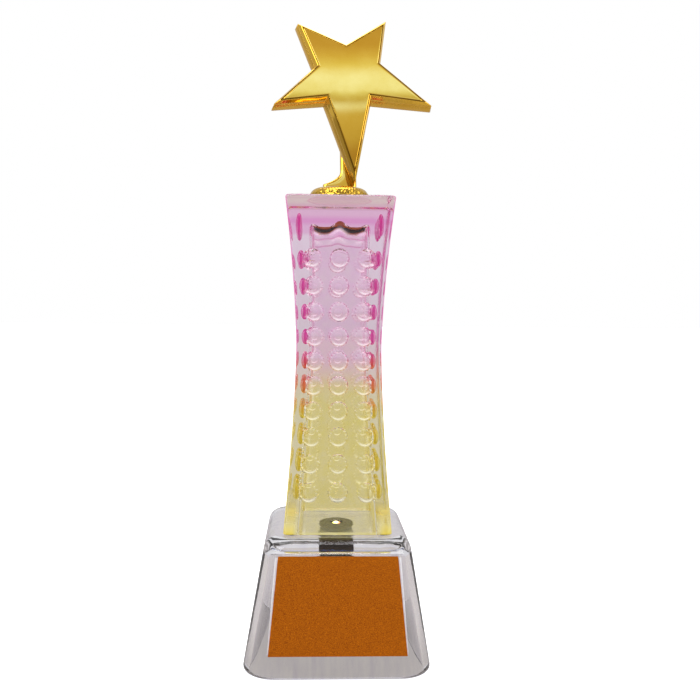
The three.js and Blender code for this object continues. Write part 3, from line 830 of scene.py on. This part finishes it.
def edge_points(start, end):
    """Points that divide a straight edge evenly, without its ends."""
    return [start + (end - start) * k / EDGE_STEPS for k in range(1, EDGE_STEPS)]


def star_ring(inward, depth, draft=0.0):
    """The outline moved inwards, its corners small arcs and its edges divided, at a height over the face."""
    corners = star_corners(inward, draft)
    steps = 4
    ring = []
    for i, q in enumerate(corners):
        p, r = corners[i - 1], corners[(i + 1) % len(corners)]
        back, ahead = (p - q) / np.hypot(*(p - q)), (r - q) / np.hypot(*(r - q))
        half_angle = math.acos(float(np.clip(back.dot(ahead), -1, 1))) / 2
        longest = 0.45 * min(np.hypot(*(p - q)), np.hypot(*(r - q)))
        reach = min(STAR_CORNER / math.tan(half_angle), longest)
        start, end = q + back * reach, q + ahead * reach
        if ring:
            ring += edge_points(ring[-1], start)
        for k in range(steps + 1):
            s = k / steps
            ring.append((1 - s) ** 2 * start + 2 * s * (1 - s) * q + s * s * end)
    ring += edge_points(ring[-1], ring[0])
    return np.column_stack([np.array(ring), np.full(len(ring), depth)])


def crowned(ring):
    """Lifts a ring of the face on to its broad crown, which is highest at the star's middle."""
    away = (ring[:, :2] - STAR_CENTRE) / STAR_REACH
    lift = STAR_CROWN * (1 - (away ** 2).sum(1))
    return ring + np.column_stack([np.zeros((len(ring), 2)), lift])


def make_star_front():
    """Side walls, a small edge, a sloping rim, a groove and the crowned panel."""
    joint = STAR_PARTING - 0.3 * MM
    draft = STAR_DRAFT * (STAR_THICK - joint) / (STAR_THICK - STAR_EDGE)
    rings = [star_ring(0.3 * MM, -joint, draft), star_ring(0, -joint + 0.1 * MM, draft)]
    rings.append(star_ring(0, -STAR_EDGE - 0.15 * MM, STAR_DRAFT))
    rings.append(star_ring(0.12 * MM, -STAR_EDGE + 0.05 * MM, STAR_DRAFT))
    rings.append(crowned(star_ring(STAR_EDGE_IN - 0.25 * MM, -0.12 * MM, STAR_DRAFT)))
    groove = len(rings)
    for inward, depth in ((0, 0), (0.1, -0.25), (0.45, -0.25), (0.55, -0.02), (0.65, 0.02)):
        rings.append(crowned(star_ring(STAR_EDGE_IN + inward * MM, depth * MM, STAR_DRAFT)))
    edge = star_ring(STAR_EDGE_IN + 1.0 * MM, 0.03 * MM, STAR_DRAFT)
    steps = 22
    for k in range(steps):
        ring = edge.copy()
        ring[:, :2] = STAR_CENTRE + (edge[:, :2] - STAR_CENTRE) * (1 - k / steps)
        rings.append(crowned(ring))
    piece = loft("star_face", [star_place(r) for r in rings], GOLD, smooth_angle=30)
    piece.data.materials.append(GROOVE_SHADE_GOLD)
    piece.data.materials.append(SIDE_GOLD)
    # The groove gets darker gold as painted shade, and the side walls are hazier than the face.
    count = len(edge)
    for face in piece.data.polygons[groove * count:(groove + 3) * count]:
        face.material_index = 1
    for face in piece.data.polygons[:2 * count]:
        face.material_index = 2
    belongs(piece, "star_front")


def make_star_back():
    """Side walls and a back with a rounded edge, hollow towards the front shell."""
    draft = STAR_DRAFT * (STAR_THICK - STAR_PARTING) / (STAR_THICK - STAR_EDGE)
    back_round = 1 * MM
    rings = []
    for a in quarter_turn(5):
        depth = -STAR_THICK + back_round * (1 - math.cos(a))
        rings.append(star_ring(back_round * (1 - math.sin(a)), depth))
    rings.append(star_ring(0, -STAR_PARTING - 0.15 * MM, draft))
    rings.append(star_ring(0.15 * MM, -STAR_PARTING, draft))
    rings.append(star_ring(STAR_SKIN + STAR_DRAFT, -STAR_PARTING))
    rings.append(star_ring(STAR_SKIN + 0.2 * MM, -STAR_THICK + 2 * STAR_SKIN))
    rings.append(star_ring(STAR_SKIN + 0.6 * MM, -STAR_THICK + STAR_SKIN))
    piece = loft("star_body", [star_place(r) for r in rings], SIDE_GOLD, smooth_angle=50)
    belongs(piece, "star_back")


def make_stem():
    """A flared fin: wide where it stands on the foot, narrow where it meets the star's leg."""
    front, back = -9.3 * MM, -13.6 * MM
    middle_w, half_w = (front + back) / 2, (front - back) / 2
    steps, around = 40, 32
    # A power below 1 makes the section a rounded rectangle.
    power = 0.45
    rings = []
    for k in range(steps + 1):
        up = (-2 + 28 * k / steps) * MM
        flare = min(1.0, max(0.0, 1 - (up - 2.2 * MM) / (8 * MM))) ** 2.5
        taper = 2.2 * MM * max(0.0, (up - 22 * MM) / (4 * MM)) ** 2
        left, right = -6.1 * MM - 8.9 * MM * flare + taper, 2 * MM - taper
        middle_u, half_u = (left + right) / 2, (right - left) / 2
        ring = []
        for i in range(around):
            a = -i / around * 2 * math.pi
            c, s = math.cos(a), math.sin(a)
            ring.append((middle_u + half_u * math.copysign(abs(c) ** power, c), up,
                         middle_w + half_w * math.copysign(abs(s) ** power, s)))
        placed = star_place(np.array(ring), 0.0)
        placed[:, 2] = np.maximum(placed[:, 2], foot_high.z + 0.05 * MM)
        rings.append(placed)
    piece = loft("star_fin", rings, GOLD, smooth_angle=60)
    belongs(piece, "star_stem")


make_star_front()
make_star_back()
make_stem()


# ---- the foot ----
def make_foot():
    """A turned foot with fine flutes on its shoulder and a band of small leaves below them."""
    around, rings_up = 360, 22
    leaves, flutes = 15, 60
    radius = (foot_high.x - foot_low.x) / 2
    low, high = foot_low.z, foot_high.z
    shoulder_low, shoulder = low + 1.4 * MM, 4.6 * MM
    shoulder_tall = high - 0.4 * MM - shoulder_low
    profile = [(0.1 * MM, low + 1 * MM), (radius - 2.8 * MM, low + 1 * MM),
               (radius - 2.2 * MM, low + 0.2 * MM), (radius - 1.6 * MM, low),
               (radius - 0.3 * MM, low), (radius, low + 0.3 * MM), (radius, shoulder_low - 0.4 * MM)]
    for a in quarter_turn(rings_up):
        profile.append((radius - shoulder * (1 - math.cos(a)), shoulder_low + shoulder_tall * math.sin(a)))
    profile += [(radius - shoulder - 1.5 * MM, high - 0.2 * MM),
                (radius * 0.4, high - 0.05 * MM), (0.1 * MM, high)]
    turn = np.arange(around) / around * 2 * math.pi
    rings = []
    for r, z in profile:
        share = (z - shoulder_low) / (high - shoulder_low)
        on_band = peak(share, 0.22, 0.2) if r > radius * 0.6 and share > -0.05 else 0
        on_flute = peak(share, 0.72, 0.22) if r > radius * 0.5 and share > 0.4 else 0
        leaf = np.abs(np.sin(turn * leaves + share * 5)) * np.abs(np.sin(turn * leaves - share * 5))
        flute = 0.5 + 0.5 * np.cos(turn * flutes)
        carved = r - (0.45 * MM * on_band * (1 - leaf) + 0.22 * MM * on_flute * flute)
        x, y = foot_mid.x + carved * np.cos(turn), foot_mid.y + carved * np.sin(turn)
        rings.append(np.stack([x, y, np.full(around, z)], 1))
    piece = loft("foot_casting", rings, CAST_GOLD, smooth_angle=60)
    belongs(piece, "topper_foot")


make_foot()


# ---- floor, light and camera ----
FLOOR_BEHIND_GLASS = (0.60, 0.555, 0.525)
SHADE_UNDER_OBJECT = 0.68


def make_floor():
    """A plain white floor, lit by its own faint glow so that it runs into the backdrop."""
    material, nodes, links, shader = new_material("floor")
    shader.inputs["Roughness"].default_value = 0.9
    shader.inputs["Specular IOR Level"].default_value = 0.1
    path = nodes.new("ShaderNodeLightPath")
    camera, glass = path.outputs["Is Camera Ray"], path.outputs["Is Transmission Ray"]
    tone = mix(nodes, links, camera, (0.44, 0.415, 0.40), (0.95, 0.95, 0.95))
    tone = mix(nodes, links, glass, tone, (0.04, 0.04, 0.04))
    links.new(tone, shader.inputs["Base Color"])
    glow = mix(nodes, links, camera, NO_LIGHT, (0.62, 0.62, 0.62))
    where = nodes.new("ShaderNodeTexCoord")
    away = nodes.new("ShaderNodeVectorMath")
    away.operation = "LENGTH"
    links.new(where.outputs["Object"], away.inputs[0])
    # Seen through glass the floor glows evenly, darker under the object: a painted shadow.
    under = tuple(SHADE_UNDER_OBJECT * c for c in FLOOR_BEHIND_GLASS)
    behind = ramp(nodes, links, away.outputs["Value"], [(0.04, under), (0.10, FLOOR_BEHIND_GLASS)])
    links.new(mix(nodes, links, glass, glow, behind), shader.inputs["Emission Color"])
    shader.inputs["Emission Strength"].default_value = 1
    size = 6.0
    corners = [(-size, -size, 0), (size, -size, 0), (size, size, 0), (-size, size, 0)]
    mesh = bpy.data.meshes.new("floor")
    mesh.from_pydata(corners, [], [(0, 1, 2, 3)])
    floor = bpy.data.objects.new("floor", mesh)
    bpy.context.scene.collection.objects.link(floor)
    mesh.materials.append(material)


def grey(value, tint=(1, 1, 1)):
    return tuple(value * c for c in tint)


def make_world():
    """White for the camera, an even grey behind glass, and a banded studio for what metal mirrors."""
    world = bpy.data.worlds.new("studio")
    bpy.context.scene.world = world
    world.use_nodes = True
    nodes, links = world.node_tree.nodes, world.node_tree.links
    where = nodes.new("ShaderNodeTexCoord")
    parts = nodes.new("ShaderNodeSeparateXYZ")
    links.new(where.outputs["Generated"], parts.inputs["Vector"])
    height = map_range(nodes, links, parts.outputs["Z"], -1, 1)
    forward = map_range(nodes, links, parts.outputs["Y"], 0.1, -0.3)

    behind_glass = ramp(nodes, links, height, [
        (0.45, FLOOR_BEHIND_GLASS), (0.50, grey(0.64, (1, 0.96, 0.97))), (0.6, grey(0.72, (1, 0.98, 1.01))),
        (0.8, grey(0.78)), (0.95, grey(1.0))])
    front_of_glass = ramp(nodes, links, height, [
        (0.3, (0.44, 0.44, 0.48)), (0.5, (0.50, 0.50, 0.55)), (0.75, grey(0.66)), (1.0, grey(0.95))])
    through = mix(nodes, links, forward, behind_glass, front_of_glass)

    behind = ramp(nodes, links, height, [(0.0, grey(0.35)), (0.5, grey(0.6)), (0.8, grey(0.9))])
    # Two bright bluish strips in a warm grey room, which the gold turns into pale stripes.
    bands = ramp(nodes, links, height, [
        (0.45, grey(0.10)), (0.56, (0.22, 0.21, 0.17)), (0.63, (0.40, 0.38, 0.30)),
        (0.684, (0.48, 0.40, 0.34)), (0.704, (0.62, 0.62, 0.55)), (0.7265, (0.69, 0.71, 0.70)),
        (0.736, (0.72, 0.78, 0.85)), (0.7405, (0.95, 1.3, 3.2)), (0.745, (0.96, 1.36, 3.7)),
        (0.7478, (0.66, 0.74, 0.85)), (0.7535, (0.70, 0.80, 0.95)), (0.757, (0.84, 1.1, 1.6)),
        (0.762, (1.05, 1.5, 3.8)), (0.779, (1.1, 1.6, 4.4)), (0.787, (1.0, 1.3, 2.4)),
        (0.790, (0.92, 1.12, 1.37)), (0.801, (0.77, 0.79, 0.73)), (0.812, (0.66, 0.60, 0.52)),
        (0.86, (0.58, 0.50, 0.40)), (0.95, grey(0.5))])
    mirrored = mix(nodes, links, forward, behind, bands)

    path = nodes.new("ShaderNodeLightPath")
    seen = mix(nodes, links, path.outputs["Is Transmission Ray"], mirrored, through)
    final = mix(nodes, links, path.outputs["Is Camera Ray"], seen, WHITE)
    links.new(final, nodes["Background"].inputs["Color"])
    nodes["Background"].inputs["Strength"].default_value = 1.0


def make_light(name, place, target, size, power):
    """A rectangular light that glass doesn't show."""
    light = bpy.data.lights.new(name, "AREA")
    light.shape = "RECTANGLE"
    light.size, light.size_y = size
    light.energy = power
    obj = bpy.data.objects.new(name, light)
    obj.location = place
    direction = np.array(target) - np.array(place)
    obj.rotation_euler = Vector(direction).to_track_quat("-Z", "Y").to_euler()
    obj.visible_transmission = False
    bpy.context.scene.collection.objects.link(obj)


def make_camera():
    """Stands in front of the trophy, a little left of it, half way up, and looks level."""
    data = bpy.data.cameras.new("camera")
    data.sensor_width = 36
    data.lens = 39.1
    data.shift_x, data.shift_y = 0.0172, -0.0617
    data.clip_start = 0.01
    camera = bpy.data.objects.new("camera", data)
    distance, height = 0.380, 0.1655
    side, roll = math.radians(-2), math.radians(0.55)
    camera.location = (AXIS_X + distance * math.sin(side), -distance * math.cos(side), height)
    level = Matrix.Rotation(side, 4, "Z") @ Matrix.Rotation(math.pi / 2, 4, "X")
    camera.rotation_euler = (level @ Matrix.Rotation(roll, 4, "Z")).to_euler("XYZ")
    bpy.context.scene.collection.objects.link(camera)
    bpy.context.scene.camera = camera


make_floor()
make_world()
make_light("key", (-0.7, -0.9, 1.0), (0, 0, 0.15), (0.9, 0.9), 9)
make_light("fill", (0.9, -0.7, 0.5), (0, 0, 0.15), (0.7, 0.9), 4)
make_light("top", (0.0, 0.1, 1.3), (0, 0, 0.1), (1.0, 0.8), 8)
make_camera()

scene = bpy.context.scene
scene.view_settings.view_transform = "Standard"
scene.cycles.max_bounces = 24
scene.cycles.transmission_bounces = 24
scene.cycles.glossy_bounces = 12
